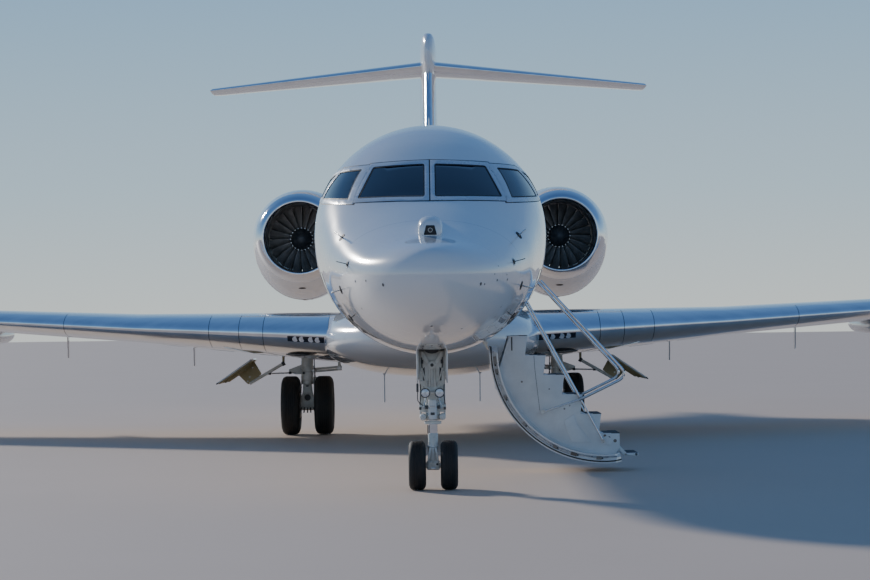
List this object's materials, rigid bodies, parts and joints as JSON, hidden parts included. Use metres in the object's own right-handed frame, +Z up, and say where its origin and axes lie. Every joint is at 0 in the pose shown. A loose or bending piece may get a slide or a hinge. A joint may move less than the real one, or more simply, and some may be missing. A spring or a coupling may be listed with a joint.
{
  "type": "long-range twin-engine business jet",
  "caption": "Low-wing business jet with two rear engines, T-tail, winglets, lowered airstair door and twin-wheel landing gear, parked.",
  "frame": {"origin": "on the ground, below the middle of the length and on the plane of symmetry", "axes": "-Y towards the nose, +X towards the port side with the door, +Z up"},
  "size_m": [28.637, 30.2996, 7.85],
  "materials": {
    "tyre": "matte",
    "dark_glass": "polished",
    "white_composite": "gloss",
    "polished_metal": "polished",
    "gear_paint": "satin",
    "rim_metal": "satin",
    "fan_metal": "satin",
    "core_metal": "satin",
    "door_lining": "satin",
    "chrome": "polished",
    "cabin_trim": "matte",
    "panel_plastic": "matte",
    "seat_leather": "satin",
    "primer": "matte",
    "white_paint": "gloss"
  },
  "bodies": {
    "airframe": {"belly_fairing": "white_composite", "cabin_floor": "cabin_trim", "cabin_shell": "white_paint", "cabin_windows_port": "dark_glass", "cabin_windows_starboard": "dark_glass", "cockpit_shell": "white_paint", "crew_seats": "seat_leather", "engine_core_port": "core_metal", "engine_core_starboard": "core_metal", "fin": "white_paint", "fin_bullet": "white_composite", "flap_inboard_port": "white_paint", "flap_inboard_starboard": "white_paint", "flap_outboard_port": "white_paint", "flap_outboard_starboard": "white_paint", "instrument_panel": "panel_plastic", "main_gear_door_port": "primer", "main_gear_door_starboard": "primer", "main_leg_port": "gear_paint", "main_leg_starboard": "gear_paint", "nacelle_lip_port": "polished_metal", "nacelle_lip_starboard": "polished_metal", "nacelle_port": "white_composite", "nacelle_starboard": "white_composite", "nose_leg": "gear_paint", "pylon_port": "white_paint", "pylon_starboard": "white_paint", "radome": "white_composite", "rear_shell": "white_paint", "slat_port": "polished_metal", "slat_starboard": "polished_metal", "tailplane_port": "white_composite", "tailplane_starboard": "white_composite", "windshield": "dark_glass", "wing_port": "white_paint", "wing_starboard": "white_paint", "winglet_port": "white_composite", "winglet_starboard": "white_composite"},
    "door": {"door_shell": "white_paint", "airstair_steps": "door_lining"},
    "foot_step": {"foot_step": "door_lining"},
    "handrails": {"handrails": "chrome"},
    "handrail_braces": {"handrail_braces": "chrome"},
    "nose_steering": {"nose_fork": "gear_paint"},
    "nose_wheels": {"nose_wheel_hubs": "rim_metal", "nose_tyre_left": "tyre", "nose_tyre_right": "tyre"},
    "main_wheels_port": {"main_port_wheel_hubs": "rim_metal", "main_port_tyre_left": "tyre", "main_port_tyre_right": "tyre"},
    "main_wheels_starboard": {"main_starboard_wheel_hubs": "rim_metal", "main_starboard_tyre_left": "tyre", "main_starboard_tyre_right": "tyre"},
    "fan_port": {"fan_port": "fan_metal"},
    "fan_starboard": {"fan_starboard": "fan_metal"},
    "rudder": {"rudder": "white_composite"},
    "elevator_port": {"elevator_port": "white_composite"},
    "elevator_starboard": {"elevator_starboard": "white_composite"},
    "aileron_port": {"aileron_port": "white_paint"},
    "aileron_starboard": {"aileron_starboard": "white_paint"}
  },
  "joints": [
    {"name": "airstair_door", "type": "hinge", "parent": "airframe", "child": "door", "pos_m": [0.64, -9.795, 1.53], "axis": [0, -1, 0], "range_deg": [0, 121]},
    {"name": "foot_step_fold", "type": "hinge", "parent": "door", "child": "foot_step", "pos_m": [2.178, -9.795, 0.3], "axis": [0, -1, 0], "range_deg": [0, 75]},
    {"name": "handrail_fold", "type": "hinge", "parent": "door", "child": "handrails", "pos_m": [1.3, -9.795, 0.715], "axis": [0, 1, 0], "range_deg": [0, 42]},
    {"name": "brace_fold", "type": "hinge", "parent": "door", "child": "handrail_braces", "pos_m": [2.01, -9.795, 0.362], "axis": [0, 1, 0], "range_deg": [0, 42]},
    {"name": "nose_steering_turn", "type": "hinge", "parent": "airframe", "child": "nose_steering", "pos_m": [0, -12.75, 0.72], "axis": [0, 0, 1], "range_deg": [-75, 75]},
    {"name": "nose_wheel_roll", "type": "hinge", "parent": "nose_steering", "child": "nose_wheels", "pos_m": [0, -12.75, 0.26272], "axis": [1, 0, 0], "continuous": true},
    {"name": "main_wheel_roll_port", "type": "hinge", "parent": "airframe", "child": "main_wheels_port", "pos_m": [2.03, 0.05, 0.47607], "axis": [1, 0, 0], "continuous": true},
    {"name": "main_wheel_roll_starboard", "type": "hinge", "parent": "airframe", "child": "main_wheels_starboard", "pos_m": [-2.03, 0.05, 0.47607], "axis": [1, 0, 0], "continuous": true},
    {"name": "fan_spin_port", "type": "hinge", "parent": "airframe", "child": "fan_port", "pos_m": [2.39, 5.28, 3.38], "axis": [0, 1, 0], "continuous": true},
    {"name": "fan_spin_starboard", "type": "hinge", "parent": "airframe", "child": "fan_starboard", "pos_m": [-2.39, 5.28, 3.38], "axis": [0, 1, 0], "continuous": true},
    {"name": "rudder_turn", "type": "hinge", "parent": "airframe", "child": "rudder", "pos_m": [0, 10.66324, 4.65], "axis": [0, 0.4717, 0.8817], "range_deg": [-30, 30]},
    {"name": "elevator_turn_port", "type": "hinge", "parent": "airframe", "child": "elevator_port", "pos_m": [0.76, 12.53137, 7.17398], "axis": [0.8894, 0.4564, -0.0244], "range_deg": [-20, 25]},
    {"name": "elevator_turn_starboard", "type": "hinge", "parent": "airframe", "child": "elevator_starboard", "pos_m": [-0.76, 12.53137, 7.17398], "axis": [0.8894, -0.4564, 0.0244], "range_deg": [-20, 25]},
    {"name": "aileron_turn_port", "type": "hinge", "parent": "airframe", "child": "aileron_port", "pos_m": [10.05, 3.66375, 2.06394], "axis": [0.901, 0.4299, 0.0588], "range_deg": [-20, 20]},
    {"name": "aileron_turn_starboard", "type": "hinge", "parent": "airframe", "child": "aileron_starboard", "pos_m": [-10.05, 3.66375, 2.06394], "axis": [0.901, -0.4299, -0.0588], "range_deg": [-20, 20]}
  ],
  "couplings": [
    {"joint": "foot_step_fold", "follows": "airstair_door", "ratio": 0.61984},
    {"joint": "handrail_fold", "follows": "airstair_door", "ratio": 0.34711},
    {"joint": "brace_fold", "follows": "airstair_door", "ratio": 0.34711}
  ]
}
